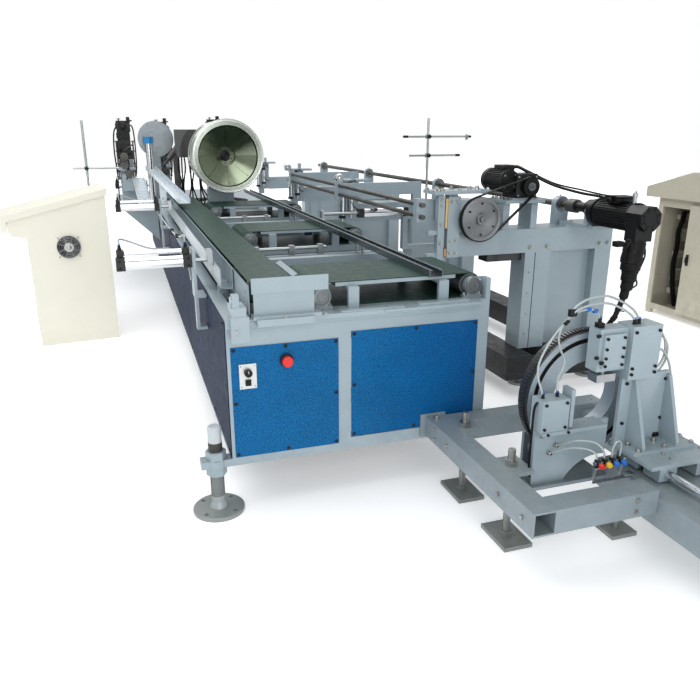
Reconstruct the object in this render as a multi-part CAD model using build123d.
from build123d import *
import os
from math import atan2, cos, degrees, pi, radians, sin, sqrt

os.makedirs("parts", exist_ok=True)

# Profile packing machine, millimetres.
# X runs across the bed, Y along it away from the operator, Z up from the floor.
# The working axes below start at the bed's front left edge; every piece is
# moved at export so that the front left levelling foot stands at the origin.

# Bed
BED_WIDTH = 1000
BED_LENGTH = 5600
BED_UNDER = 178
BED_TOP = 720
BAYS = 4
DECK_FRONT = BED_LENGTH - 2360
TRAY_Z = 600
POST = 48
RAIL = 28
SHEET = 3
FRONT_MID_POST_X = 398
GATE_HEIGHT = 798
GATE_POST = 18

# Front panels
PANEL_LEFT_X = 12
PANEL_LEFT_LOW = 210
PANEL_LEFT_HIGH = 621
PANEL_RIGHT_STEP = 20
PANEL_THICK = 3
STOP_BUTTON_X = 206
STOP_BUTTON_Z = 560
STOP_STEM_R = 8
STOP_HEAD_R = 20
STOP_COLLAR_R = 24
STOP_TRAVEL = 6
SWITCH_X = 68
SWITCH_Z = 515
SWITCH_WIDTH = 60
SWITCH_HEIGHT = 90
KNOB_R = 12

# Levelling foot
FOOT_X = -56
FOOT_Y = 25
FOOT_DISC_R = 93
FOOT_DISC_THICK = 15
FOOT_ROD_R = 24
FOOT_ROD_TOP = 333
FOOT_NUT = 64
FOOT_NUT_THICK = 32
FOOT_BOLT_CIRCLE_R = 72
FOOT_BOLT_R = 8
LUG_REACH = 75
FEET_INSET = 170

# Left belt conveyor
BELT_TOP = 840
BELT_X = 91
BELT_WIDTH = 154
BELT_FRONT = 15
BELT_LENGTH = 3300
BELT_THICK = 4
BELT_ROLLER_R = 36
BELT_FRAME_WALL = 4

# Front stop of the belt
STOP_RIGHT = 357
STOP_LOW = 806
STOP_HIGH = 858
STOP_FRONT = -22
STOP_THICK = 6

# Cross belts
CROSS_FIRST_Y = 52
CROSS_PITCH = 1360
CROSS_COUNT = 3
CROSS_WIDTH = 360
CROSS_LEFT_X = 345
CROSS_RIGHT_X = 938
CROSS_AXIS_Z = 768
CROSS_ROLLER_R = 42
CROSS_BELT_THICK = 3

# Guide channel
CHANNEL_X = 752
CHANNEL_WIDTH = 52
CHANNEL_HEIGHT = 27
CHANNEL_WALL = 2.5
CHANNEL_LENGTH = 3900

# Side pushers
PUSHER_Y = (519, 2650, BED_LENGTH - 880)
PUSHER_Z = 835
PUSHER_LEFT = -332
PUSHER_RIGHT = -48
PUSHER_R = 22.5
PUSHER_CAP = 46
PUSHER_ROD_R = 8
PUSHER_STROKE = 60
PUSHER_SHOE_X = 48
PUSHER_LEG_LOW = 552

# Head table that stands out at the bed's far left
HEAD_TABLE_FRONT = BED_LENGTH - 1700
HEAD_TABLE_LENGTH = 1250
HEAD_TABLE_REACH = 330
HEAD_GUSSET_LOW = 420

# Cross cylinder at the second station
CROSS_CYLINDER_Y = 1395
CROSS_CYLINDER_X = 950
CROSS_CYLINDER_LENGTH = 296
CROSS_CYLINDER_Z = 892
CROSS_ROD_TIP = 738

# Turnover drum
DRUM_X = 492
DRUM_FRONT = DECK_FRONT - 240
DRUM_Z = 1150
DRUM_R = 246
DRUM_RIM = 14
DRUM_RIM_DEPTH = 64
DRUM_DEPTH = 460
DRUM_WALL = 10
DRUM_MOUTH_R = 72
DRUM_FUNNEL = 120
DRUM_HUB_R = 40
DRUM_RIBS = 8

# Feed heads: x, y and top height of each
HEAD_PLACES = (
    (-218, HEAD_TABLE_FRONT + 150, 1442),
    (106, HEAD_TABLE_FRONT + 520, 1440),
    (612, HEAD_TABLE_FRONT + 740, 1466),
)
HEAD_MOTOR = 340

# Guide disc, capped cylinder, inclined cylinder and infeed chutes
DISC_FACE_X = 36
DISC_FACE_Y = HEAD_TABLE_FRONT + 100
DISC_FACE_Z = 1265
DISC_FACE_R = 146
CAPPED_X = -30
CAPPED_Y = HEAD_TABLE_FRONT + 20
INCLINED_Y = HEAD_TABLE_FRONT - 140
INCLINED_LOW = (110, INCLINED_Y, 1108)
INCLINED_HIGH = (256, INCLINED_Y + 40, 1274)
CHUTE_LOW = (104, HEAD_TABLE_FRONT - 1480, 872)
CHUTE_HIGH = (-44, HEAD_TABLE_FRONT - 300, 1034)
LADDER_LOW = (-118, HEAD_TABLE_FRONT - 690, 776)
LADDER_HIGH = (-138, HEAD_TABLE_FRONT - 10, 952)

# Gantry
GANTRY_Y = 775
GANTRY_PITCH = 1480
GANTRY_COUNT = 4
BEAM_LEFT = 1247
BEAM_LOW = 734
BEAM_HEIGHT = 120
BEAM_DEPTH = 170
COLUMN_LEFT = 1642
COLUMN_RIGHT = 2165
COLUMN_DEPTH = 130
COLUMN_LEG = 150
PLINTH_TOP = 220
PLINTH_HEIGHT = 125
PLINTH_LEFT = 1505
PLINTH_NOSE = 650

# Lift slide at the gantry's left end
SLIDE_X = 1130
SLIDE_WIDTH = 34
SLIDE_LOW = 673
SLIDE_HIGH = 1032
SLIDE_THICK = 30
SLIDE_STROKE = 80

# Belt disc and motor
DISC_X = 1340
DISC_Z = 922
DISC_R = 104
DISC_THICK = 28
DISC_FRONT = 700
MOTOR_X = 1600
MOTOR_Z = 1068
MOTOR_PULLEY_R = 42
DRIVE_BELT_THICK = 5

# Long drive shaft
SHAFT_X = 1900
SHAFT_Z = 962
SHAFT_R = 16
SHAFT_FRONT = 735
GEARMOTOR_FRONT = 200
GEARMOTOR_BACK = 594
GEARMOTOR_Z = 952
GEARMOTOR_R = 60
GEARMOTOR_LOW = 858

# Taped cable bundle under the gear motor: points with the radius at each
BUNDLE = (
    ((1872, GEARMOTOR_FRONT + 55, 870), 40),
    ((1852, GEARMOTOR_FRONT + 50, 790), 46),
    ((1844, GEARMOTOR_FRONT + 44, 690), 30),
    ((1824, GEARMOTOR_FRONT + 42, 600), 13),
    ((1790, GEARMOTOR_FRONT + 40, 518), 11),
    ((1770, GEARMOTOR_FRONT + 60, 470), 11),
)

# Long rods
ROD_X = 1062
ROD_Z = 962
ROD_R = 11
ROD_GAP = 56

# Turning ring device
TUBE = 80
TUBE_WALL = 6
RING_TUBE_X = 747
RING_BASE_Z = 195
RING_TUBE_FRONT = -757
RING_X = 1137
RING_Y = -400
RING_Z = 471
RING_R = 230
RING_BORE_R = 124
RING_THICK = 56
RING_TEETH = 120
RING_PLATE_Y = -500
RING_PLATE_THICK = 14
RAIL_X = 1190
RAIL_WIDTH = 290
RAIL_TOP = 250
RAIL_HEIGHT = 100
RAIL_FRONT = -1450
RAIL_BACK = -470
LINEAR_R = 15

# Pedestal on the carriage
PED_X = 1196
PED_FACE = -530
PED_BACK = -476
TOP_CLAMP_X = 1136
TOP_CLAMP_Y = -502

# Desk
DESK_DEPTH = 470
DESK_LENGTH = 477
DESK_NOSE = 102
DESK_BACK_HIGH = 938
DESK_FRONT_HIGH = 803
DESK_SLAB = 40
DESK_TURN = 8
DESK_X = -387
DESK_Y = 2448
FAN_X = 249
FAN_Z = 627
FAN_R = 70

# Cabinet
CABINET_X = 3485
CABINET_BACK_Y = 1906
CABINET_WIDTH = 642
CABINET_DEPTH = 420
CABINET_HEIGHT = 866
CABINET_PLINTH = 34
CABINET_WALL = 4
CABINET_BORDER = 44
ROOF_EDGE = 72
ROOF_RISE = 118
ROOF_OVER = 96
DOOR_THICK = 18
HINGE_R = 5


def box(x0, x1, y0, y1, z0, z1):
    return Pos((x0 + x1) / 2, (y0 + y1) / 2, (z0 + z1) / 2) * Box(x1 - x0, y1 - y0, z1 - z0)


def rod_x(x0, x1, y, z, r):
    return Pos((x0 + x1) / 2, y, z) * Rot(0, 90, 0) * Cylinder(r, x1 - x0)


def rod_y(x, y0, y1, z, r):
    return Pos(x, (y0 + y1) / 2, z) * Rot(90, 0, 0) * Cylinder(r, y1 - y0)


def rod_z(x, y, z0, z1, r):
    return Pos(x, y, (z0 + z1) / 2) * Cylinder(r, z1 - z0)


def nut(x, y, z0, thick, across, bore):
    return Pos(x, y, z0) * extrude(RegularPolygon(across / 2, 6, major_radius=False), thick) - rod_z(
        x, y, z0 - 1, z0 + thick + 1, bore
    )


def profile_y(points, y0, y1):
    # A shape drawn as (x, z) points and drawn out along Y.
    face = make_face(Polyline(*[(x, y0, z) for x, z in points], close=True))
    return extrude(face, amount=y1 - y0, dir=(0, 1, 0))


def profile_x(points, x0, x1):
    # A shape drawn as (y, z) points and drawn out along X.
    face = make_face(Polyline(*[(x0, y, z) for y, z in points], close=True))
    return extrude(face, amount=x1 - x0, dir=(1, 0, 0))


def hollow_y(x0, x1, y0, y1, z0, z1, wall):
    return box(x0, x1, y0, y1, z0, z1) - box(
        x0 + wall, x1 - wall, y0 - 1, y1 + 1, z0 + wall, z1 - wall
    )


def hollow_x(x0, x1, y0, y1, z0, z1, wall):
    return box(x0, x1, y0, y1, z0, z1) - box(
        x0 - 1, x1 + 1, y0 + wall, y1 - wall, z0 + wall, z1 - wall
    )


def belt_loop(flat0, flat1, radius, thick, width, axis_z, across, start):
    # A belt around two equal rollers. It runs along Y, or along X when across is true.
    outer = SlotCenterToCenter(flat1 - flat0, 2 * (radius + thick))
    inner = SlotCenterToCenter(flat1 - flat0, 2 * radius)
    ring = extrude(outer - inner, width)
    middle = (flat0 + flat1) / 2
    if across:
        return Pos(middle, start + width, axis_z) * Rot(90, 0, 0) * ring
    return Pos(start, middle, axis_z) * Rot(0, 0, 90) * Rot(90, 0, 0) * ring


def put(name, *shapes):
    # Moves the piece into the part's own axes and writes its file.
    solids = []
    for shape in shapes:
        solids += list(shape.solids())
    whole = Compound(solids) if len(solids) > 1 else solids[0]
    export_step(Pos(-FOOT_X, -FOOT_Y, 0) * whole, f"parts/{name}.step")
    print(name, len(solids), "solids")


# Bed frame
bay = (BED_LENGTH - POST) / BAYS
front_rail_top = BED_UNDER + RAIL
frame = box(0, BED_WIDTH, 0, POST, BED_UNDER, front_rail_top)
frame += box(0, BED_WIDTH, BED_LENGTH - POST, BED_LENGTH, BED_UNDER, front_rail_top)
for x in (0, BED_WIDTH - POST):
    frame += box(x, x + POST, 0, BED_LENGTH, BED_UNDER, BED_UNDER + POST)
    frame += box(x, x + POST, 0, BED_LENGTH, BED_TOP - POST, BED_TOP)
    for i in range(BAYS + 1):
        frame += box(x, x + POST, i * bay, i * bay + POST, BED_UNDER, BED_TOP)
for i in range(BAYS + 1):
    frame += box(0, BED_WIDTH, i * bay, i * bay + POST, BED_TOP - POST, BED_TOP)
    frame += box(0, BED_WIDTH, i * bay, i * bay + POST, BED_UNDER, BED_UNDER + POST)
frame += box(FRONT_MID_POST_X, FRONT_MID_POST_X + POST, 0, POST, BED_UNDER, BED_TOP)
frame += box(0, BED_WIDTH, 0, POST, PANEL_LEFT_HIGH + PANEL_RIGHT_STEP, BED_TOP)
frame += box(0, FRONT_MID_POST_X + 1, 0, POST, PANEL_LEFT_HIGH - 4, BED_TOP)
frame += box(BED_WIDTH - GATE_POST, BED_WIDTH, 0, POST, BED_TOP, GATE_HEIGHT)
frame += box(BED_WIDTH - POST, BED_WIDTH, POST - 3, POST, GATE_HEIGHT - 12, GATE_HEIGHT)
lug_half = POST / 2 + 12
lug = box(FOOT_X - LUG_REACH + 20, 1, 0, 2 * FOOT_Y, BED_UNDER, front_rail_top)
lug += rod_z(FOOT_X, FOOT_Y, BED_UNDER, front_rail_top, lug_half)
lug -= rod_z(FOOT_X, FOOT_Y, BED_UNDER - 1, front_rail_top + 1, FOOT_ROD_R)
frame += lug
frame += nut(FOOT_X, FOOT_Y, front_rail_top, FOOT_NUT_THICK, FOOT_NUT, FOOT_ROD_R)
frame += nut(FOOT_X, FOOT_Y, BED_UNDER - FOOT_NUT_THICK, FOOT_NUT_THICK, FOOT_NUT, FOOT_ROD_R)

# Front ledge with its stepped slide rails
ledge = box(0, BED_WIDTH - POST, -18, 0, 690, BED_TOP)
ledge += box(150, BED_WIDTH - POST, -34, -18, 704, BED_TOP)
ledge += box(560, BED_WIDTH - POST, -42, -34, 712, BED_TOP)
ledge += box(400, 640, -30, -2, BED_TOP, BED_TOP + 6)
ledge += box(700, 900, -24, 4, BED_TOP, BED_TOP + 9)
frame += ledge

# Front panels
panel_right_x0 = FRONT_MID_POST_X + POST + 1
panel_right_x1 = BED_WIDTH - POST + 1
left_panel = box(PANEL_LEFT_X, FRONT_MID_POST_X, -PANEL_THICK, 0, PANEL_LEFT_LOW, PANEL_LEFT_HIGH)
left_panel -= rod_y(STOP_BUTTON_X, -PANEL_THICK - 1, 1, STOP_BUTTON_Z, STOP_STEM_R + 0.5)
right_panel = box(
    panel_right_x0,
    panel_right_x1,
    -PANEL_THICK,
    0,
    PANEL_LEFT_LOW + PANEL_RIGHT_STEP,
    PANEL_LEFT_HIGH + PANEL_RIGHT_STEP,
)
put("front_panels", left_panel, right_panel)

# Side sheets
sheets = []
for x in (-SHEET, BED_WIDTH):
    for i in range(BAYS):
        y0 = i * bay + 4
        sheet = box(x, x + SHEET, y0, y0 + bay - 4, front_rail_top, BED_TOP - 8)
        if x < 0:
            table_end = HEAD_TABLE_FRONT + HEAD_TABLE_LENGTH
            sheet -= box(x - 1, 1, HEAD_TABLE_FRONT - 2, table_end + 2, HEAD_GUSSET_LOW - 2, BED_TOP)
        sheets.append(sheet)
put("side_sheets", *sheets)

# Levelling foot
disc = rod_z(FOOT_X, FOOT_Y, 0, FOOT_DISC_THICK, FOOT_DISC_R)
disc = chamfer(disc.edges().group_by(Axis.Z)[-1], 3)
for i in range(4):
    a = radians(45 + 90 * i)
    disc -= rod_z(
        FOOT_X + FOOT_BOLT_CIRCLE_R * cos(a),
        FOOT_Y + FOOT_BOLT_CIRCLE_R * sin(a),
        -1,
        FOOT_DISC_THICK + 1,
        FOOT_BOLT_R,
    )
neck = Pos(FOOT_X, FOOT_Y, FOOT_DISC_THICK + 12) * Cone(34, FOOT_ROD_R, 24)
shank = rod_z(FOOT_X, FOOT_Y, FOOT_DISC_THICK, FOOT_ROD_TOP, FOOT_ROD_R)
shank = chamfer(shank.edges().group_by(Axis.Z)[-1], 4)
foot = disc + neck + shank

# Feet under the bed
feet = [foot]
for i in range(BAYS + 1):
    y = POST / 2 + i * bay if i else bay / 3
    for x in (FEET_INSET, BED_WIDTH - FEET_INSET):
        one = rod_z(x, y, 0, FOOT_DISC_THICK, FOOT_DISC_R * 0.7)
        one += rod_z(x, y, 0, BED_UNDER, FOOT_ROD_R)
        feet.append(one)
y = bay / 3
bearer = box(POST, BED_WIDTH - POST, y - POST / 2, y + POST / 2, BED_UNDER, BED_UNDER + POST)
frame += bearer

# Left belt conveyor
belt_axis_z = BELT_TOP - BELT_THICK - BELT_ROLLER_R
belt_x1 = BELT_X + BELT_WIDTH
front_axis = BELT_FRONT + BELT_ROLLER_R
rear_axis = BELT_FRONT + BELT_LENGTH - BELT_ROLLER_R
belt = belt_loop(front_axis, rear_axis, BELT_ROLLER_R, BELT_THICK, BELT_WIDTH, belt_axis_z, False, BELT_X)
put("conveyor_belt", belt)
side_low = 726
side_high = BELT_TOP - 12
conveyor = None
for x in (BELT_X - BELT_FRAME_WALL - 2, belt_x1 + 2):
    side = box(x, x + BELT_FRAME_WALL, BELT_FRONT, BELT_FRONT + BELT_LENGTH, side_low, side_high)
    conveyor = side if conveyor is None else conveyor + side
bed_plate_z = BELT_TOP - BELT_THICK - 3
for i in range(CROSS_COUNT):
    y = CROSS_FIRST_Y + i * CROSS_PITCH + CROSS_WIDTH - 4
    conveyor += box(BELT_X - 4, belt_x1 + 4, y, y + 48, belt_axis_z - 12, belt_axis_z + 12)
    conveyor += box(BELT_X - 4, belt_x1 + 4, y + 6, y + 42, BED_TOP, side_low + 10)
rollers = []
for y in (front_axis, rear_axis):
    roller = rod_x(BELT_X + 1, belt_x1 - 1, y, belt_axis_z, BELT_ROLLER_R)
    roller += rod_x(BELT_X - 6, belt_x1 + 6, y, belt_axis_z, 10)
    rollers.append(roller)
for y in (front_axis, rear_axis):
    conveyor -= rod_x(BELT_X - 20, belt_x1 + 20, y, belt_axis_z, 10)
belt_rollers = list(rollers)

# Front stop of the conveyor, with the apron and stepped ledges under it
stop = box(BELT_X, STOP_RIGHT, STOP_FRONT, STOP_FRONT + STOP_THICK, STOP_LOW, STOP_HIGH)
stop += box(BELT_X + 6, STOP_RIGHT - 50, STOP_FRONT + 4, STOP_FRONT + 12, 726, STOP_LOW + 4)
stop += box(BELT_X, STOP_RIGHT - 30, STOP_FRONT - 20, 10, BED_TOP, 732)
stop += box(BELT_X + 10, STOP_RIGHT - 60, STOP_FRONT - 34, -34, 700, 724)
put("end_stop", stop)

# Conveyor gearbox at the front left corner
gearbox = box(14, 74, -52, -18.3, 650, 738)
gearbox += box(18, 66, -50, 40, BED_TOP, 770)
gearbox += box(22, 44, -48, -14, 760, 812)
gearbox += rod_x(16, 22, -30, 792, 14)
put("conveyor_gearbox", gearbox)

# Guide strip along the belt's right edge near the front
strip = profile_y(
    [(belt_x1 + 5, 800), (belt_x1 + 5, BELT_TOP + 2), (belt_x1 + 24, BELT_TOP + 10), (belt_x1 + 26, BELT_TOP + 7), (belt_x1 + 8, BELT_TOP), (belt_x1 + 8, 800)],
    60,
    330,
)
put("conveyor_frame", conveyor + strip)

# Side trough left of the belt
trough_y0 = 312
trough_x0 = 34
trough_x1 = BELT_X - 10
trough = profile_y(
    [
        (trough_x0, 832),
        (trough_x0, 760),
        (trough_x1, 752),
        (trough_x1, 836),
        (trough_x1 - 3, 836),
        (trough_x1 - 3, 756),
        (trough_x0 + 3, 763),
        (trough_x0 + 3, 832),
    ],
    trough_y0,
    trough_y0 + 2900,
)
for i in range(4):
    y = trough_y0 + 110 + i * 830
    trough += box(trough_x0 + 6, trough_x1 - 6, y, y + 40, BED_TOP, 762)
put("side_trough", trough)

# Cross belts with their rollers, bearings and beds
cross_belts = []
cross_rollers = []
cross_bearings = []
cross_top = CROSS_AXIS_Z + CROSS_ROLLER_R + CROSS_BELT_THICK
for i in range(CROSS_COUNT):
    y0 = CROSS_FIRST_Y + i * CROSS_PITCH
    y1 = y0 + CROSS_WIDTH
    cross_belts.append(
        belt_loop(
            CROSS_LEFT_X,
            CROSS_RIGHT_X,
            CROSS_ROLLER_R,
            CROSS_BELT_THICK,
            CROSS_WIDTH,
            CROSS_AXIS_Z,
            True,
            y0,
        )
    )
    for x in (CROSS_LEFT_X, CROSS_RIGHT_X):
        roller = rod_y(x, y0 + 2, y1 - 2, CROSS_AXIS_Z, CROSS_ROLLER_R)
        roller += rod_y(x, y0 - 34, y1 + 34, CROSS_AXIS_Z, 12)
        cross_rollers.append(roller)
        for yb in (y0 - 32, y1 + 8):
            block = rod_y(x, yb, yb + 24, CROSS_AXIS_Z, 34)
            block += box(x - 40, x + 40, yb, yb + 24, BED_TOP, BED_TOP + 14)
            block += box(x - 24, x + 24, yb, yb + 24, BED_TOP, CROSS_AXIS_Z - 10)
            block -= rod_y(x, yb - 1, yb + 25, CROSS_AXIS_Z, 12)
            cross_bearings.append(block)
    bed_low = CROSS_AXIS_Z - CROSS_ROLLER_R + 6
    bed_high = CROSS_AXIS_Z + CROSS_ROLLER_R
    bed_plate = box(CROSS_LEFT_X + 60, CROSS_RIGHT_X - 60, y0 + 2, y1 - 2, bed_high - 14, bed_high)
    for x in (CROSS_LEFT_X + 100, CROSS_RIGHT_X - 140):
        bed_plate += box(x, x + 40, y0 - 28, y1 + 28, bed_high - 26, bed_high - 14)
        for yb in (y0 - 28, y1 + 12):
            bed_plate += box(x, x + 40, yb, yb + 16, BED_TOP, bed_high - 14)
    frame += bed_plate
    for yb in (y0 - 32, y1 + 8):
        frame += box(POST - 1, BED_WIDTH - POST + 1, yb - 8, yb + 32, BED_TOP - 30, BED_TOP)
put("cross_belts", *cross_belts)
put("belt_rollers", *belt_rollers, *cross_rollers)
put("roller_bearings", *cross_bearings)

# Cross bars between the belts
bars = []
for i in range(CROSS_COUNT - 1):
    y0 = CROSS_FIRST_Y + i * CROSS_PITCH + CROSS_WIDTH
    frame += box(belt_x1 + 12, BED_WIDTH, y0 + 430, y0 + 480, BED_TOP, BED_TOP + 40)
    bar = rod_x(300, 680, y0 + 700, 762, 9)
    for x in (320, 500, 650):
        bar += box(x - 14, x + 14, y0 + 684, y0 + 716, BED_TOP + 8, 778)
    bars.append(bar)
    frame += box(belt_x1 + 12, BED_WIDTH, y0 + 680, y0 + 720, BED_TOP, BED_TOP + 8)

# Floor sheet of the bed between the belts
tray = box(POST, BED_WIDTH - POST, POST, BED_LENGTH - POST, TRAY_Z, TRAY_Z + 3)
put("bed_tray", tray)

# Rear deck that carries the drum and the feed heads
frame += box(
    -HEAD_TABLE_REACH,
    1,
    HEAD_TABLE_FRONT,
    HEAD_TABLE_FRONT + HEAD_TABLE_LENGTH,
    BED_TOP - 14,
    BED_TOP,
)
for y in (HEAD_TABLE_FRONT + 40, HEAD_TABLE_FRONT + HEAD_TABLE_LENGTH - 90):
    frame += Pos(0, y, 0) * extrude(
        make_face(
            Polyline((1, 0, BED_TOP - 1), (1, 0, HEAD_GUSSET_LOW), (-HEAD_TABLE_REACH + 20, 0, BED_TOP - 1), close=True)
        ),
        amount=10,
        dir=(0, 1, 0),
    )
frame += box(POST - 1, BED_WIDTH - POST + 1, DECK_FRONT, BED_LENGTH - POST + 1, BED_TOP - 8, BED_TOP)

# Guide channel on two pairs of posts
z0 = cross_top
channel = hollow_y(
    CHANNEL_X,
    CHANNEL_X + CHANNEL_WIDTH,
    CROSS_FIRST_Y - 40,
    CROSS_FIRST_Y - 40 + CHANNEL_LENGTH,
    z0,
    z0 + CHANNEL_HEIGHT,
    CHANNEL_WALL,
)
channel -= box(
    CHANNEL_X + 12,
    CHANNEL_X + CHANNEL_WIDTH - 12,
    -2000,
    2 * BED_LENGTH,
    z0 + CHANNEL_HEIGHT / 2,
    z0 + 2 * CHANNEL_HEIGHT,
)
put("guide_channel", channel)
posts = []
for i in range(CROSS_COUNT - 1):
    y = CROSS_FIRST_Y + CROSS_WIDTH + 455 + i * CROSS_PITCH
    for x in (CHANNEL_X + 10, CHANNEL_X + CHANNEL_WIDTH - 10):
        posts.append(rod_z(x, y, BED_TOP + 40, z0, 6))
put("stop_bars", *bars, *posts)
put("bed_frame", frame)

# Side pushers
barrels = []
brackets = []
for i, y in enumerate(PUSHER_Y):
    tube = rod_x(PUSHER_LEFT + 34, PUSHER_RIGHT - 34, y, PUSHER_Z, PUSHER_R)
    tube += rod_x(PUSHER_LEFT + 20, PUSHER_RIGHT - 20, y + 30, PUSHER_Z + 36, 9)
    for x0, x1 in ((PUSHER_LEFT, PUSHER_LEFT + 34), (PUSHER_RIGHT - 34, PUSHER_RIGHT)):
        cap = box(x0, x1, y - PUSHER_CAP / 2, y + PUSHER_CAP / 2, PUSHER_Z - 24, PUSHER_Z + 24)
        cap += box(x0 + 4, x1 - 4, y + 16, y + 44, PUSHER_Z + 20, PUSHER_Z + 50)
        cap -= rod_x(x0 - 1, x1 + 1, y, PUSHER_Z, PUSHER_ROD_R + 0.5)
        tube += cap
    foot_z = BED_TOP if y > HEAD_TABLE_FRONT else 690
    plate = box(PUSHER_RIGHT, PUSHER_RIGHT + 12, y - 40, y + 50, foot_z, 884)
    if foot_z < BED_TOP:
        plate += box(PUSHER_RIGHT, -SHEET, y - 40, y + 50, foot_z, foot_z + 12)
        plate += box(PUSHER_RIGHT + 4, PUSHER_RIGHT + 16, y - 16, y + 30, PUSHER_LEG_LOW, foot_z + 1)
        plate += box(PUSHER_RIGHT + 4, -SHEET, y - 16, y + 30, PUSHER_LEG_LOW, PUSHER_LEG_LOW + 12)
    plate -= rod_x(PUSHER_RIGHT - 1, PUSHER_RIGHT + 13, y, PUSHER_Z, PUSHER_ROD_R + 0.5)
    brackets.append(plate)
    shaft = rod_x(PUSHER_LEFT + 100, PUSHER_SHOE_X - 30, y, PUSHER_Z, PUSHER_ROD_R)
    shoe = box(PUSHER_SHOE_X - 36, PUSHER_SHOE_X - 16, y - 30, y + 34, PUSHER_Z + 2 - 24, PUSHER_Z + 40)
    tube -= rod_x(PUSHER_LEFT + 40, PUSHER_RIGHT - 34, y, PUSHER_Z, PUSHER_ROD_R + 4)
    barrels.append(tube)
    put(f"pusher_rod_{i + 1}", shaft + shoe)

# Gantry plinth, columns and beams
plinth_low = PLINTH_TOP - PLINTH_HEIGHT
last_y = GANTRY_Y + (GANTRY_COUNT - 1) * GANTRY_PITCH
plinth = hollow_y(PLINTH_LEFT, PLINTH_LEFT + 150, PLINTH_NOSE, last_y + 400, plinth_low, PLINTH_TOP, 8)
plinth += hollow_y(
    COLUMN_RIGHT - 100, COLUMN_RIGHT + 50, PLINTH_NOSE, last_y + 400, plinth_low, PLINTH_TOP, 8
)
for i in range(GANTRY_COUNT):
    y = GANTRY_Y + i * GANTRY_PITCH
    plinth += box(PLINTH_LEFT + 149, COLUMN_RIGHT - 99, y, y + COLUMN_DEPTH, plinth_low, PLINTH_TOP)
plinth += box(PLINTH_LEFT, COLUMN_RIGHT + 50, PLINTH_NOSE, PLINTH_NOSE + 6, plinth_low, PLINTH_TOP)
put("gantry_plinth", plinth)
pads = []
for i in range(GANTRY_COUNT):
    y = GANTRY_Y + i * GANTRY_PITCH + 60
    for x in (COLUMN_LEFT + 60, COLUMN_RIGHT - 25):
        pad = rod_z(x, y, 0, FOOT_DISC_THICK, 60)
        pad += rod_z(x, y, 0, plinth_low, 20)
        pads.append(pad)
put("levelling_feet", *feet, *pads)
columns = []
beams = []
for i in range(GANTRY_COUNT):
    y = GANTRY_Y + i * GANTRY_PITCH
    left = box(COLUMN_LEFT, COLUMN_LEFT + COLUMN_LEG, y, y + COLUMN_DEPTH, PLINTH_TOP, BEAM_LOW)
    right = box(COLUMN_RIGHT - 100, COLUMN_RIGHT, y, y + COLUMN_DEPTH, PLINTH_TOP, BEAM_LOW)
    web = box(
        COLUMN_LEFT + COLUMN_LEG - 1, COLUMN_RIGHT - 99, y + 50, y + 60, PLINTH_TOP, BEAM_LOW
    )
    columns.append(left + right + web)
    beam = hollow_x(
        BEAM_LEFT, COLUMN_RIGHT, y, y + BEAM_DEPTH, BEAM_LOW, BEAM_LOW + BEAM_HEIGHT, 8
    )
    beam += box(BEAM_LEFT, BEAM_LEFT + 6, y, y + BEAM_DEPTH, BEAM_LOW, BEAM_LOW + BEAM_HEIGHT)
    beams.append(beam)
beam_top = BEAM_LOW + BEAM_HEIGHT

# Under tray of the front beam
under = box(1440, COLUMN_LEFT, GANTRY_Y + 30, GANTRY_Y + 120, BEAM_LOW - 42, BEAM_LOW)
frames = [a + b for a, b in zip(columns, beams)]
frames[0] += under
put("gantry_frames", *frames)

# Lift slide with its fixed guide
guide = box(SLIDE_X + 52, BEAM_LEFT, GANTRY_Y - 30, GANTRY_Y + 30, BEAM_LOW + 4, 1028)
guide += box(SLIDE_X - 28, SLIDE_X + 270, GANTRY_Y - 44, GANTRY_Y + 90, 1040, 1056)
guide += box(SLIDE_X + 60, SLIDE_X + 110, GANTRY_Y - 10, GANTRY_Y + 30, 1020, 1044)
guide += box(BEAM_LEFT - 40, BEAM_LEFT, GANTRY_Y - 10, GANTRY_Y + 60, BEAM_LOW, 1000)
gib = box(SLIDE_X + SLIDE_WIDTH + 6, SLIDE_X + 52, GANTRY_Y - 26, GANTRY_Y - 6, 880, 1020)
gib += box(SLIDE_X + SLIDE_WIDTH + 6, SLIDE_X + 52, GANTRY_Y - 26, GANTRY_Y - 6, 745, 782)
guide += box(SLIDE_X + 2, SLIDE_X + 62, GANTRY_Y + 0.3, GANTRY_Y + 12, BEAM_LOW + 4, 1028)
stations = []
for i in range(1, GANTRY_COUNT):
    y = GANTRY_Y + i * GANTRY_PITCH
    station = box(BEAM_LEFT - 60, BEAM_LEFT, y - 10, y + 50, BEAM_LOW + 4, 1001)
    station += box(SLIDE_X, BEAM_LEFT - 59, y - 30, y - 8, BEAM_LOW - 44, 1012)
    station += box(SLIDE_X - 28, BEAM_LEFT + 70, y - 40, y + 80, 1000, 1016)
    station += box(SLIDE_X + 14, SLIDE_X + 26, y - 46, y - 29, BEAM_LOW + 30, 980)
    station += rod_z(SLIDE_X + 90, y + 20, 1015, 1060, 14)
    stations.append(station)
put("slide_guide", guide + gib, *stations)
slide = box(SLIDE_X, SLIDE_X + SLIDE_WIDTH, GANTRY_Y - 30, GANTRY_Y, SLIDE_LOW, SLIDE_HIGH)
slide += box(SLIDE_X - 50, SLIDE_X + 4, GANTRY_Y - 24, GANTRY_Y - 4, 740, 760)
slide += box(SLIDE_X - 46, SLIDE_X + 4, GANTRY_Y - 24, GANTRY_Y - 4, 850, 870)
put("lift_slide", slide)

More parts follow.
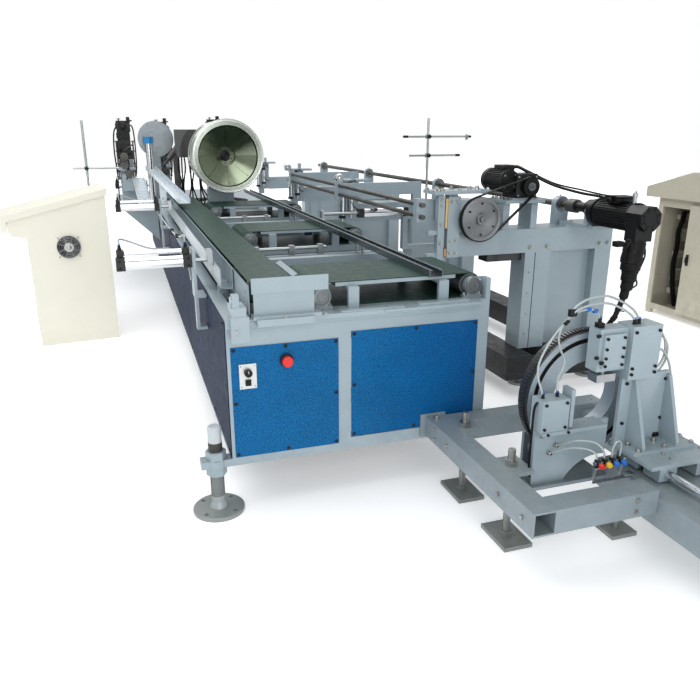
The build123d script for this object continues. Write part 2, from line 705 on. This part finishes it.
# Long rods with their brackets
rod_back = GANTRY_Y + 2 * GANTRY_PITCH - 300
rods = []
for k in (-1, 1):
    rods.append(rod_y(ROD_X, GANTRY_Y - 10, rod_back, ROD_Z + k * ROD_GAP / 2, ROD_R))
put("long_rods", *rods)
holders = []
for i in range(3):
    y = GANTRY_Y + 40 + i * (GANTRY_PITCH - 190)
    holder = box(ROD_X - 22, ROD_X + 22, y - 20, y + 20, ROD_Z - 56, ROD_Z + 56)
    for k in (-1, 1):
        holder -= rod_y(ROD_X, y - 21, y + 21, ROD_Z + k * ROD_GAP / 2, ROD_R)
    holders.append(holder)
arms = []
arms.append(box(ROD_X + 21, BEAM_LEFT - 40, GANTRY_Y + 30.4, GANTRY_Y + 60, ROD_Z - 50, ROD_Z + 50))
for i in (1, 2):
    y = GANTRY_Y + 40 + i * (GANTRY_PITCH - 190)
    arms.append(box(ROD_X + 22, COLUMN_LEFT, y - 20, y + 20, ROD_Z - 40, ROD_Z + 40))
    arms.append(box(COLUMN_LEFT - 60, COLUMN_LEFT, y - 20, y + 20, PLINTH_TOP, ROD_Z - 40))
put("rod_brackets", arms[0] + holders[0], arms[1] + arms[2] + holders[1], arms[3] + arms[4] + holders[2])

# Belt disc, motor, motor pulley and drive belt
disc_back = DISC_FRONT + DISC_THICK
wheel = rod_y(DISC_X, DISC_FRONT, disc_back, DISC_Z, DISC_R)
wheel = fillet(wheel.edges().filter_by(GeomType.CIRCLE), 3)
wheel -= rod_y(DISC_X, DISC_FRONT - 1, DISC_FRONT + 6, DISC_Z, 86) - rod_y(
    DISC_X, DISC_FRONT - 1, DISC_FRONT + 7, DISC_Z, 30
)
wheel += rod_y(DISC_X, DISC_FRONT - 14, GANTRY_Y + 90, DISC_Z, 16)
put("belt_disc", wheel)
housing = rod_y(DISC_X, disc_back + 6, GANTRY_Y + 80, DISC_Z, 44)
housing += box(DISC_X - 44, DISC_X + 44, disc_back + 20, GANTRY_Y + 80, beam_top, DISC_Z)
housing -= rod_y(DISC_X, disc_back, GANTRY_Y + 81, DISC_Z, 16.05)
pulley = rod_y(MOTOR_X, DISC_FRONT, disc_back, MOTOR_Z, MOTOR_PULLEY_R)
pulley += rod_y(MOTOR_X, DISC_FRONT - 8, GANTRY_Y, MOTOR_Z, 12)
put("motor_pulley", pulley)
motor = rod_y(MOTOR_X - 90, GANTRY_Y - 20, GANTRY_Y + 170, MOTOR_Z + 24, 52)
motor += box(MOTOR_X - 60, MOTOR_X + 55, disc_back + 12, GANTRY_Y + 90, MOTOR_Z - 56, MOTOR_Z + 58)
motor -= rod_y(MOTOR_X, disc_back, GANTRY_Y + 5, MOTOR_Z, 12.05)
put("belt_motor", motor)
stand = box(MOTOR_X - 110, MOTOR_X + 110, disc_back + 12, GANTRY_Y + 140, MOTOR_Z - 82, MOTOR_Z - 66)
stand += box(MOTOR_X - 70, MOTOR_X + 50, disc_back + 20, GANTRY_Y + 100, MOTOR_Z - 68, MOTOR_Z - 56)
for x in (MOTOR_X - 100, MOTOR_X + 60):
    stand += box(x, x + 36, GANTRY_Y + 4, GANTRY_Y + 120, beam_top, MOTOR_Z - 80)

# Flat loop around the disc and the motor pulley
dx = MOTOR_X - DISC_X
dz = MOTOR_Z - DISC_Z
reach = sqrt(dx * dx + dz * dz)
tilt = atan2(dz, dx)
lean = (DISC_R - MOTOR_PULLEY_R) / reach


def belt_outline(extra):
    big = DISC_R + extra
    small = MOTOR_PULLEY_R + extra
    ang = atan2(sqrt(1 - lean * lean), lean)
    up = tilt + ang
    down = tilt - ang
    p1 = (DISC_X + big * cos(up), DISC_Z + big * sin(up))
    p2 = (MOTOR_X + small * cos(up), MOTOR_Z + small * sin(up))
    p3 = (MOTOR_X + small * cos(down), MOTOR_Z + small * sin(down))
    p4 = (DISC_X + big * cos(down), DISC_Z + big * sin(down))
    m1 = (MOTOR_X + small * cos(tilt), MOTOR_Z + small * sin(tilt))
    m2 = (DISC_X - big * cos(tilt), DISC_Z - big * sin(tilt))
    y = DISC_FRONT + 4
    a, b, c, d, e, f = ((q[0], y, q[1]) for q in (p1, p2, m1, p3, p4, m2))
    lines = Line(a, b)
    lines += ThreePointArc(b, c, d)
    lines += Line(d, e)
    lines += ThreePointArc(e, f, a)
    return make_face(lines)


loop = extrude(belt_outline(DRIVE_BELT_THICK + 0.3), amount=DISC_THICK - 8, dir=(0, 1, 0))
loop -= extrude(belt_outline(0.3), amount=DISC_THICK - 8, dir=(0, 1, 0))
put("drive_belt", loop)

# Long drive shaft with bearings and its gear motor
shaft = rod_y(SHAFT_X, SHAFT_FRONT, last_y + 300, SHAFT_Z, SHAFT_R)
shaft += rod_y(SHAFT_X, SHAFT_FRONT + 2, SHAFT_FRONT + 62, SHAFT_Z, 34)
put("drive_shaft", shaft)
bearings = []
for i in range(GANTRY_COUNT):
    y = GANTRY_Y + i * GANTRY_PITCH + 90
    one = rod_y(SHAFT_X, y, y + 40, SHAFT_Z, 40)
    one += box(SHAFT_X - 40, SHAFT_X + 40, y, y + 40, beam_top, SHAFT_Z)
    one -= rod_y(SHAFT_X, y - 1, y + 41, SHAFT_Z, SHAFT_R + 0.05)
    bearings.append(one)
put("shaft_bearings", housing, *bearings)
gearmotor = rod_y(SHAFT_X, GEARMOTOR_FRONT + 90, GEARMOTOR_BACK, GEARMOTOR_Z, GEARMOTOR_R)
gearmotor += rod_y(SHAFT_X, GEARMOTOR_BACK - 1, GEARMOTOR_BACK + 40, SHAFT_Z, 44)
gearmotor += rod_y(SHAFT_X, GEARMOTOR_BACK + 30, SHAFT_FRONT - 1, SHAFT_Z, 24)
end_cap = extrude(Plane.XZ * RegularPolygon(GEARMOTOR_R - 2, 8), amount=-100)
gearmotor += Pos(SHAFT_X - 14, GEARMOTOR_FRONT, GEARMOTOR_Z + 6) * Rot(0, 22.5, 0) * end_cap
gearmotor += box(SHAFT_X - 70, SHAFT_X + 20, GEARMOTOR_FRONT + 20, GEARMOTOR_FRONT + 90, GEARMOTOR_LOW, GEARMOTOR_Z)
gearmotor += rod_z(SHAFT_X - 4, GEARMOTOR_FRONT + 128, GEARMOTOR_Z, 1052, 9)
put("shaft_gearmotor", gearmotor)
shelf_top = GEARMOTOR_Z - GEARMOTOR_R - 8
shelf = box(SHAFT_X - 30, SHAFT_X + 200, 560, GANTRY_Y + 60, shelf_top - 16, shelf_top)
shelf += box(SHAFT_X - 30, SHAFT_X + 200, GANTRY_Y + 1, GANTRY_Y + 60, beam_top, shelf_top)
shelf += box(SHAFT_X - 48, SHAFT_X + 48, GEARMOTOR_BACK + 4, GEARMOTOR_BACK + 20, shelf_top - 1, SHAFT_Z)
shelf -= rod_y(SHAFT_X, GEARMOTOR_BACK - 40, GEARMOTOR_BACK + 60, SHAFT_Z, 44)
put("motor_stands", stand, shelf)

# Cross cylinders on the second station
y = CROSS_CYLINDER_Y
x0 = CROSS_CYLINDER_X
x1 = x0 + CROSS_CYLINDER_LENGTH
z = CROSS_CYLINDER_Z
cross_cyl = rod_x(x0 + 30, x1 - 30, y, z, PUSHER_R)
for xe in (x0, x1 - 32):
    cross_cyl += box(xe, xe + 32, y - PUSHER_CAP / 2, y + PUSHER_CAP / 2, z - 24, z + 24)
cross_cyl -= rod_x(x0 + 31, x1 - 20, y, z, PUSHER_ROD_R + 4)
cross_cyl -= rod_x(x0 - 1, x0 + 40, y, z, PUSHER_ROD_R + 0.5)
put("cylinders", *barrels, cross_cyl)
cyl_post = box(x1 - 30, x1 - 2, y - 20, y + 20, 690, z - 24)
cyl_post += box(x1 - 30, PLINTH_LEFT + 40, y - 20, y + 20, 680, 702)
cyl_post += box(PLINTH_LEFT + 10, PLINTH_LEFT + 50, y - 20, y + 20, PLINTH_TOP, 702)
put("cylinder_brackets", *brackets, cyl_post)
cross_rod = rod_x(CROSS_ROD_TIP + 4, x0 + 115, y, z, PUSHER_ROD_R)
cross_rod += box(CROSS_ROD_TIP, CROSS_ROD_TIP + 12, y - 24, y + 24, z - 20, z + 20)
put("cross_cylinder_rod", cross_rod)

# Turnover drum: a shell with a heavy rim, and a ribbed funnel that leads to its mouth
drum_back = DRUM_FRONT + DRUM_DEPTH
half = DRUM_R
drum_section = Polyline(
    (half + DRUM_RIM, 0),
    (half + DRUM_RIM, DRUM_RIM_DEPTH),
    (half, DRUM_RIM_DEPTH + 10),
    (half, DRUM_DEPTH - 70),
    (half + 8, DRUM_DEPTH - 60),
    (half + 8, DRUM_DEPTH),
    (DRUM_HUB_R, DRUM_DEPTH),
    (DRUM_HUB_R, DRUM_DEPTH - 14),
    (half - DRUM_WALL, DRUM_DEPTH - 14),
    (half - DRUM_WALL, 40),
    (DRUM_MOUTH_R, DRUM_FUNNEL + 8),
    (DRUM_MOUTH_R, DRUM_FUNNEL),
    (half - 34, 18),
    (half - 26, 0),
    close=True,
)
drum = revolve(make_face(drum_section), Axis.Y)
drum += rod_y(0, DRUM_FUNNEL + 60, DRUM_DEPTH + 190, 0, DRUM_HUB_R)
rib_length = half - 34 - DRUM_MOUTH_R
slope = degrees(atan2(DRUM_FUNNEL - 18, rib_length))
for i in range(DRUM_RIBS):
    rib = Pos((half - 34 + DRUM_MOUTH_R) / 2, (DRUM_FUNNEL + 18) / 2 - 5, 0) * Rot(0, 0, -slope) * Box(
        rib_length - 8, 16, 5
    )
    drum += Rot(0, 360 / DRUM_RIBS * i, 0) * rib
put("turnover_drum", Pos(DRUM_X, DRUM_FRONT, DRUM_Z) * drum)
post_y = drum_back + 20
stand = box(DRUM_X - 100, DRUM_X + 100, post_y, post_y + 130, BED_TOP, DRUM_Z)
stand += rod_y(DRUM_X, post_y, post_y + 130, DRUM_Z, 100)
stand += box(DRUM_X - 330, DRUM_X - 60, post_y + 10, post_y + 180, DRUM_Z - 20, DRUM_Z + 190)
stand += box(DRUM_X - 300, DRUM_X + 300, post_y - 20, post_y + 160, BED_TOP, BED_TOP + 14)
stand -= rod_y(DRUM_X, post_y - 1, post_y + 281, DRUM_Z, DRUM_HUB_R + 0.08)
stand -= rod_y(DRUM_X, post_y + 131, post_y + 281, DRUM_Z, DRUM_HUB_R + 6)
drum_stand = stand

# Feed heads at the far end, each a geared motor on a column with slide blocks
heads = []
head_columns = []
for x, y, top in HEAD_PLACES:
    column = box(x - 58, x + 58, y + 20, y + 150, BED_TOP, top - HEAD_MOTOR)
    column += box(x - 76, x + 76, y - 10, y + 170, BED_TOP, BED_TOP + 16)
    column += box(x - 44, x + 44, y - 30, y + 21, BED_TOP + 120, BED_TOP + 260)
    column += rod_x(x - 70, x + 70, y - 6, BED_TOP + 300, 22)
    head_columns.append(column)
    low = top - HEAD_MOTOR
    head = box(x - 62, x + 62, y + 6, y + 118, low, low + 70)
    head += box(x - 54, x + 50, y + 16, y + 104, low + 69, top - 30)
    head += box(x - 62, x + 56, y + 8, y + 112, top - 96, top - 50)
    head += box(x - 68, x - 20, y - 30, y + 17, low + 20, low + 150)
    head += box(x + 30, x + 58, y + 30, y + 80, top - 120, top)
    head += rod_x(x - 60, x - 36, y + 60, top - 150, 24)
    heads.append(head)
put("rear_stands", drum_stand, *head_columns)
put("feed_heads", *heads)

# Guide disc, the capped cylinder before it and the inclined cylinder beside it
face = rod_y(DISC_FACE_X, DISC_FACE_Y, DISC_FACE_Y + 14, DISC_FACE_Z, DISC_FACE_R)
face += rod_y(DISC_FACE_X, DISC_FACE_Y + 10, DISC_FACE_Y + 60, DISC_FACE_Z, 34)
face += box(DISC_FACE_X - 30, DISC_FACE_X + 30, DISC_FACE_Y + 40, DISC_FACE_Y + 90, BED_TOP, DISC_FACE_Z + 20)
face += rod_z(CAPPED_X, CAPPED_Y, BED_TOP, 1232, 26)
face += rod_z(CAPPED_X, CAPPED_Y, 1228, 1283, 40)
face += box(CAPPED_X - 20, DISC_FACE_X + 20, CAPPED_Y - 14, DISC_FACE_Y + 50, BED_TOP, BED_TOP + 12)
put("guide_disc", face)


def between(start, end, section):
    # Draws a flat section, with its height up, along the line from start to end.
    run = Vector(*end) - Vector(*start)
    flat = Vector(run.Y, -run.X, 0).normalized()
    plane = Plane(origin=start, x_dir=flat, z_dir=run.normalized())
    return extrude(plane * section, run.length)


def tray_section(width, height, wall):
    outer = Pos(0, -height / 2) * Rectangle(width, height)
    return outer - Pos(0, -height / 2 - wall) * Rectangle(width - 2 * wall, height)


inclined = between(INCLINED_LOW, INCLINED_HIGH, Circle(25))
inclined += between((INCLINED_LOW[0] - 42, INCLINED_LOW[1] - 10, INCLINED_LOW[2] - 44), INCLINED_LOW, Circle(9))
inclined += box(150, 200, INCLINED_Y - 2, INCLINED_Y + 40, BED_TOP, 1180)
chute = between(CHUTE_LOW, CHUTE_HIGH, tray_section(74, 34, 3))
chute += box(CHUTE_HIGH[0] + 46, CHUTE_HIGH[0] + 96, CHUTE_HIGH[1] - 200, CHUTE_HIGH[1] - 180, BED_TOP, 1006)
ladder = between(LADDER_LOW, LADDER_HIGH, tray_section(92, 30, 3))
for i in range(9):
    t = 0.08 + i * 0.1
    x, y, z = (LADDER_LOW[k] + t * (LADDER_HIGH[k] - LADDER_LOW[k]) for k in range(3))
    ladder += Pos(x, y, z) * Box(88, 14, 6)
ladder += box(LADDER_HIGH[0] - 20, LADDER_HIGH[0] + 20, HEAD_TABLE_FRONT + 10, HEAD_TABLE_FRONT + 26, BED_TOP, 962)
ladder += between((LADDER_HIGH[0], HEAD_TABLE_FRONT + 18, 955), LADDER_HIGH, Rectangle(30, 8))
put("inclined_cylinder", inclined)
bundle = None
for (start, r0), (end, r1) in zip(BUNDLE, BUNDLE[1:]):
    run = Vector(*end) - Vector(*start)
    plane = Plane(origin=start, z_dir=run.normalized())
    length = run.length
    low = plane * Circle(r0)
    high = plane.offset(length) * Circle(r1)
    length_piece = loft([low.face(), high.face()])
    bundle = length_piece if bundle is None else bundle + length_piece
    if r1 > 4:
        bundle += Pos(*end) * Sphere(r1)
bundle -= box(BUNDLE[0][0][0] - 90, BUNDLE[0][0][0] + 90, GEARMOTOR_FRONT, GEARMOTOR_FRONT + 130, GEARMOTOR_LOW, 1000)
put("cable_bundle", bundle)
put("infeed_chutes", chute, ladder)

# Ring device base frame
tube_x1 = RING_TUBE_X + TUBE
base_top = RING_BASE_Z + TUBE
left_tube = hollow_y(RING_TUBE_X, tube_x1, RING_TUBE_FRONT, -8, RING_BASE_Z, base_top, TUBE_WALL)
left_tube += box(RING_TUBE_X - 20, tube_x1 + 4, -8, -PANEL_THICK, RING_BASE_Z - 6, base_top + 6)
front_tube = hollow_x(
    tube_x1 - 2, RAIL_X, RING_TUBE_FRONT, RING_TUBE_FRONT + TUBE, RING_BASE_Z, base_top, TUBE_WALL
)
rear_tube = hollow_x(tube_x1 - 2, 1500, -20 - TUBE, -20, RING_BASE_Z, base_top, TUBE_WALL)
base = left_tube + front_tube + rear_tube
base += box(RING_TUBE_X + 40, RAIL_X, RING_PLATE_Y - 20, -360, RING_BASE_Z, RING_BASE_Z + 12)
studs = []
nuts = []
pads = []
for y in (-142, -466):
    base += box(tube_x1 - 60, tube_x1 + 72, y - 60, y + 60, base_top - 14, base_top)
    studs.append(rod_z(tube_x1 + 20, y, 15, 332, 12))
    nuts.append(nut(tube_x1 + 20, y, base_top, 16, 38, 12))
    nuts.append(nut(tube_x1 + 20, y, 15, 16, 38, 12))
    pads.append(
        box(tube_x1 - 30, tube_x1 + 75, y - 80, y + 80, 0, 15)
    )
    base -= rod_z(tube_x1 + 20, y, RING_BASE_Z - 1, base_top + 1, 12.2)
ring_feet = []
for i, stud in enumerate(studs):
    ring_feet.append(stud + nuts[2 * i] + nuts[2 * i + 1] + pads[i])

# Rail beam with its linear shafts
rail = hollow_y(RAIL_X, RAIL_X + RAIL_WIDTH, RAIL_FRONT, RAIL_BACK, RAIL_TOP - RAIL_HEIGHT, RAIL_TOP, 8)
rail += hollow_y(1400, 1480, RAIL_BACK - 1, -20 - TUBE, RAIL_TOP - RAIL_HEIGHT, RAIL_TOP, 6)
feet = []
for y in (RAIL_FRONT + 80, RAIL_BACK - 80):
    for x in (RAIL_X + 40, RAIL_X + RAIL_WIDTH - 40):
        one = box(x - 50, x + 50, y - 50, y + 50, 0, 15)
        one += rod_z(x, y, 0, RAIL_TOP - RAIL_HEIGHT, 12)
        feet.append(one)
put("ring_feet", *ring_feet, *feet)
linear_z = RAIL_TOP + 30
linear = []
supports = []
linear_x = (RAIL_X + 92, RAIL_X + 240)
for x in linear_x:
    linear.append(rod_y(x, RAIL_FRONT + 30, RAIL_BACK - 12, linear_z, LINEAR_R))
    for y in (RAIL_FRONT + 20, RAIL_BACK - 42):
        clamp = box(x - 26, x + 26, y, y + 30, RAIL_TOP, linear_z + 24)
        clamp -= rod_y(x, y - 1, y + 31, linear_z, LINEAR_R)
        supports.append(clamp)
put("linear_shafts", *linear)
for clamp in supports:
    rail += clamp
put("rail_beam", rail)

# Carriage with the pedestal
carriage_low = linear_z + 26
blocks = None
for x in linear_x:
    for y in (-690, -590):
        block = box(x - 34, x + 34, y, y + 70, RAIL_TOP + 6, carriage_low)
        block -= rod_y(x, y - 1, y + 71, linear_z, LINEAR_R + 0.05)
        blocks = block if blocks is None else blocks + block
carriage = blocks + box(1206, 1470, -700, -488, carriage_low, carriage_low + 14)
ped_low = carriage_low + 14
ped = box(PED_X, PED_X + 190, PED_FACE, PED_FACE + 14, ped_low, 566)
ped += box(PED_X + 4, 1448, PED_FACE - 92, PED_FACE + 14, ped_low, ped_low + 12)
ped += box(PED_X + 60, PED_X + 74, PED_FACE + 13, PED_FACE + 60, ped_low, 566)
for x in (PED_X + 40, PED_X + 176):
    rib = profile_x(
        [(PED_FACE + 1, 556), (PED_FACE + 1, ped_low), (PED_FACE - 86, ped_low), (PED_FACE - 86, ped_low + 22), (PED_FACE - 14, 556)],
        x,
        x + 12,
    )
    ped += rib
ped += box(PED_X, PED_X + 112, PED_FACE - 24, PED_BACK, 560, 738)
ped += carriage

# Front plate of the ring
plate = box(905, 1186, RING_PLATE_Y, RING_PLATE_Y + RING_PLATE_THICK, RING_BASE_Z + 12, 409)
plate -= rod_y(1160, RING_PLATE_Y - 1, RING_PLATE_Y + RING_PLATE_THICK + 1, 132, 150)
plate += box(905, 1150, RING_PLATE_Y - 40, RING_PLATE_Y + 30, 397, 409)

# Turning ring with its toothed rim
ring = rod_y(RING_X, RING_Y - RING_THICK / 2, RING_Y + RING_THICK / 2, RING_Z, RING_R - 8)
ring -= rod_y(RING_X, RING_Y - RING_THICK, RING_Y + RING_THICK, RING_Z, RING_BORE_R)
ring -= rod_y(RING_X, RING_Y - RING_THICK / 2 - 1, RING_Y - RING_THICK / 2 + 12, RING_Z, 202) - rod_y(
    RING_X, RING_Y - RING_THICK, RING_Y + RING_THICK, RING_Z, 188
)
teeth = rod_y(RING_X, RING_Y - 12, RING_Y + 12, RING_Z, RING_R)
teeth -= rod_y(RING_X, RING_Y - 13, RING_Y + 13, RING_Z, RING_R - 9)
gap = 2 * pi * RING_R / RING_TEETH / 2
cut = None
for i in range(RING_TEETH):
    notch = Pos(RING_X, RING_Y, RING_Z) * Rot(0, 360 / RING_TEETH * i, 0) * Pos(RING_R, 0, 0) * Box(
        10, 30, gap
    )
    cut = notch if cut is None else cut + notch
teeth -= cut
put("turning_ring", ring + teeth)

# Rollers that carry the ring
cage = box(960, 1290, -360, -346, RING_BASE_Z + 12, 330)
cage -= rod_y(RING_X, -361, -345, RING_Z, RING_BORE_R + 20)
rollers = []
for a in (-125, -55):
    x = RING_X + (RING_R - 8 + 22) * cos(radians(a))
    z = RING_Z + (RING_R - 8 + 22) * sin(radians(a))
    rollers.append(rod_y(x, RING_Y + 13, -346, z, 21.9))
base += cage
for roller in rollers:
    base += roller
put("ring_base_frame", base)

# Side clamp and top clamp
side_clamp = box(900, 1000, RING_PLATE_Y - 36, RING_PLATE_Y + 26, 409, 516)
side_clamp -= rod_x(930, 1001, RING_PLATE_Y - 5, 462, 9.5)
put("ring_plate", plate + side_clamp)
side_jaw = rod_x(932, 1010, RING_PLATE_Y - 5, 462, 9)
side_jaw += box(1008, 1022, RING_PLATE_Y - 30, RING_PLATE_Y + 20, 414, 541)
put("side_jaw", side_jaw)
top_clamp = box(1090, PED_X + 1, PED_FACE, PED_BACK + 2, 592, 732)
top_clamp += box(1102, PED_X - 14, PED_FACE - 12, PED_FACE + 1, 604, 716)
top_clamp -= rod_z(TOP_CLAMP_X, TOP_CLAMP_Y, 591, 722, 9.5)
put("pedestal", ped + top_clamp)
top_jaw = rod_z(TOP_CLAMP_X, TOP_CLAMP_Y, 575, 718, 9)
top_jaw += box(TOP_CLAMP_X - 36, TOP_CLAMP_X + 36, TOP_CLAMP_Y - 22, TOP_CLAMP_Y + 22, 552, 578)
put("top_jaw", top_jaw)

# Control desk
desk_slope = (DESK_BACK_HIGH - DESK_FRONT_HIGH) / (DESK_LENGTH + DESK_NOSE)
outline = [
    (0, 0),
    (-DESK_LENGTH, 0),
    (-DESK_LENGTH, 694),
    (-DESK_LENGTH - DESK_NOSE + 14, 711),
    (-DESK_LENGTH - DESK_NOSE, 743),
    (-DESK_LENGTH - DESK_NOSE, DESK_FRONT_HIGH),
    (0, DESK_BACK_HIGH),
]
desk = profile_y(outline, 0, DESK_DEPTH)
desk -= box(-DESK_LENGTH + 4, -4, 4, DESK_DEPTH - 4, -1, 680)
lip = 40
slab = profile_y(
    [
        (-DESK_LENGTH - DESK_NOSE - lip, DESK_FRONT_HIGH - desk_slope * lip - 58),
        (-DESK_LENGTH - DESK_NOSE - 4, DESK_FRONT_HIGH - 58),
        (-DESK_LENGTH - DESK_NOSE - 4, DESK_FRONT_HIGH - 1),
        (14, DESK_BACK_HIGH + desk_slope * 14),
        (14, DESK_BACK_HIGH + desk_slope * 14 + DESK_SLAB),
        (-DESK_LENGTH - DESK_NOSE - lip, DESK_FRONT_HIGH - desk_slope * lip + DESK_SLAB),
    ],
    -10,
    DESK_DEPTH + 10,
)
place = Pos(DESK_X, DESK_Y, 0) * Rot(0, 0, DESK_TURN)
put("control_desk", place * (desk + slab))
fan_x = -FAN_X
fan_z = FAN_Z
fan = rod_y(fan_x, -10, 0, fan_z, FAN_R) - rod_y(fan_x, -11, -3, fan_z, FAN_R - 8)
for r in (FAN_R - 18, FAN_R - 36, FAN_R - 54):
    fan += rod_y(fan_x, -9, 0, fan_z, r) - rod_y(fan_x, -10, -3, fan_z, r - 3)
fan += rod_y(fan_x, -10, 0, fan_z, 12)
for a in range(0, 180, 45):
    fan += Pos(fan_x, -6, fan_z) * Rot(0, a, 0) * Box(2 * FAN_R - 6, 6, 3)
put("desk_fan", place * fan)

# Electrical cabinet: a sheet case with a frame round the doorway and a gabled roof
y0 = CABINET_BACK_Y - CABINET_WIDTH
y1 = CABINET_BACK_Y
x1 = CABINET_X + CABINET_DEPTH
body = box(CABINET_X, x1, y0, y1, CABINET_PLINTH, CABINET_HEIGHT)
body -= box(
    CABINET_X - 1,
    x1 - CABINET_WALL,
    y0 + CABINET_WALL,
    y1 - CABINET_WALL,
    CABINET_PLINTH + CABINET_WALL,
    CABINET_HEIGHT - CABINET_WALL,
)
border = box(CABINET_X, CABINET_X + 16, y0, y1, CABINET_PLINTH, CABINET_HEIGHT)
border -= box(
    CABINET_X - 1,
    CABINET_X + 17,
    y0 + CABINET_BORDER,
    y1 - CABINET_BORDER,
    CABINET_PLINTH + CABINET_BORDER,
    CABINET_HEIGHT - CABINET_BORDER - 20,
)
body += border
for y in (y0 + 22, y1 - 22):
    for x in (CABINET_X + 22, x1 - 22):
        body += box(x - 20, x + 20, y - 20, y + 20, 0, CABINET_PLINTH + 1)
body += box(x1 - 40, x1 - 30, y0 + 60, y1 - 60, 140, 760)
body += box(x1 - 31, x1 - 3, y0 + 90, y0 + 110, 140, 760)
body += box(x1 - 31, x1 - 3, y1 - 110, y1 - 90, 140, 760)
gable = profile_x(
    [
        (y0 - ROOF_OVER, CABINET_HEIGHT),
        (y1 + ROOF_OVER, CABINET_HEIGHT),
        (y1 + ROOF_OVER, CABINET_HEIGHT + ROOF_EDGE),
        ((y0 + y1) / 2, CABINET_HEIGHT + ROOF_EDGE + ROOF_RISE),
        (y0 - ROOF_OVER, CABINET_HEIGHT + ROOF_EDGE),
    ],
    CABINET_X - 44,
    x1 + 44,
)
gable -= profile_x(
    [
        (y0 - ROOF_OVER + 4, CABINET_HEIGHT - 1),
        (y1 + ROOF_OVER - 4, CABINET_HEIGHT - 1),
        (y1 + ROOF_OVER - 4, CABINET_HEIGHT + ROOF_EDGE - 4),
        ((y0 + y1) / 2, CABINET_HEIGHT + ROOF_EDGE + ROOF_RISE - 5),
        (y0 - ROOF_OVER + 4, CABINET_HEIGHT + ROOF_EDGE - 4),
    ],
    CABINET_X - 40,
    x1 + 40,
)
gable += box(CABINET_X - 44, x1 + 44, y0 - ROOF_OVER, y1 + ROOF_OVER, CABINET_HEIGHT, CABINET_HEIGHT + 4)
hinge_x = CABINET_X - 2 - DOOR_THICK / 2
hinge_y = y0 + CABINET_BORDER - 12
door_y1 = (y0 + y1) / 2
door_z0 = CABINET_PLINTH + 30
door_z1 = CABINET_HEIGHT - 30
for z in (door_z0 + 90, door_z1 - 150):
    body += rod_z(hinge_x, hinge_y, z, z + 60, HINGE_R)
    body += box(hinge_x - 2, CABINET_X + 1, hinge_y - 2, hinge_y + 2, z, z + 6)
put("cabinet_body", body + gable)
door = box(hinge_x - DOOR_THICK / 2, hinge_x + DOOR_THICK / 2, hinge_y + 8, door_y1, door_z0, door_z1)
for z in (door_z0 + 90, door_z1 - 150):
    knuckle = rod_z(hinge_x, hinge_y, z + 8, z + 50, HINGE_R + 4)
    knuckle += box(hinge_x - 3, hinge_x + 3, hinge_y, hinge_y + 9, z + 8, z + 50)
    knuckle -= rod_z(hinge_x, hinge_y, z, z + 60, HINGE_R + 0.05)
    door += knuckle
handle_z = (door_z0 + door_z1) / 2 - 30
door += box(hinge_x - DOOR_THICK / 2 - 8, hinge_x - DOOR_THICK / 2 + 1, door_y1 - 50, door_y1 - 30, handle_z, handle_z + 76)
door += box(hinge_x - DOOR_THICK / 2 - 20, hinge_x - DOOR_THICK / 2 - 7, door_y1 - 46, door_y1 - 34, handle_z + 20, handle_z + 60)
put("cabinet_door", door)

# Controls on the front left panel
panel_face = -PANEL_THICK
switch = box(
    SWITCH_X - SWITCH_WIDTH / 2,
    SWITCH_X + SWITCH_WIDTH / 2,
    panel_face - 6,
    panel_face,
    SWITCH_Z - SWITCH_HEIGHT / 2,
    SWITCH_Z + SWITCH_HEIGHT / 2,
)
knob_z = SWITCH_Z + SWITCH_HEIGHT / 6
switch += rod_y(SWITCH_X, panel_face - 24, panel_face - 5, knob_z, KNOB_R)
switch += box(SWITCH_X - 9, SWITCH_X + 9, panel_face - 11, panel_face - 5, SWITCH_Z - 32, SWITCH_Z - 12)
collar = rod_y(STOP_BUTTON_X, panel_face - 10, panel_face, STOP_BUTTON_Z, STOP_COLLAR_R)
collar -= rod_y(STOP_BUTTON_X, panel_face - 20, 0, STOP_BUTTON_Z, STOP_STEM_R + 0.5)
put("control_plates", switch, collar)
head_back = panel_face - 10 - STOP_TRAVEL - 2
stop_button = rod_y(STOP_BUTTON_X, head_back - 14, head_back, STOP_BUTTON_Z, STOP_HEAD_R)
stop_button = fillet(stop_button.edges().group_by(Axis.Y)[0], 6)
stop_button += rod_y(STOP_BUTTON_X, head_back - 1, panel_face + 1, STOP_BUTTON_Z, STOP_STEM_R)
put("stop_button", stop_button)

# Sensor stands with their cross bars
stand_y = GANTRY_Y + GANTRY_PITCH + 85
right = rod_z(1795, stand_y, beam_top, 1412, 8)
right += rod_x(1640, 2096, stand_y, 1290, 7)
right += rod_x(1656, 2014, stand_y, 1163, 7)
for z in (1290, 1163):
    right += box(1795 - 14, 1795 + 14, stand_y - 14, stand_y + 14, z - 14, z + 14)
right += rod_x(2094, 2100, stand_y, 1286, 20)
left_stand_y = 2960
left = rod_z(-496, left_stand_y, 0, 1396, 8)
left += rod_z(-496, left_stand_y, 0, 12, 44)
left += rod_x(-584, -284, left_stand_y, 1082, 6)
left += box(-496 - 13, -496 + 13, left_stand_y - 13, left_stand_y + 13, 1082 - 13, 1082 + 13)
put("sensor_stands", right, left)
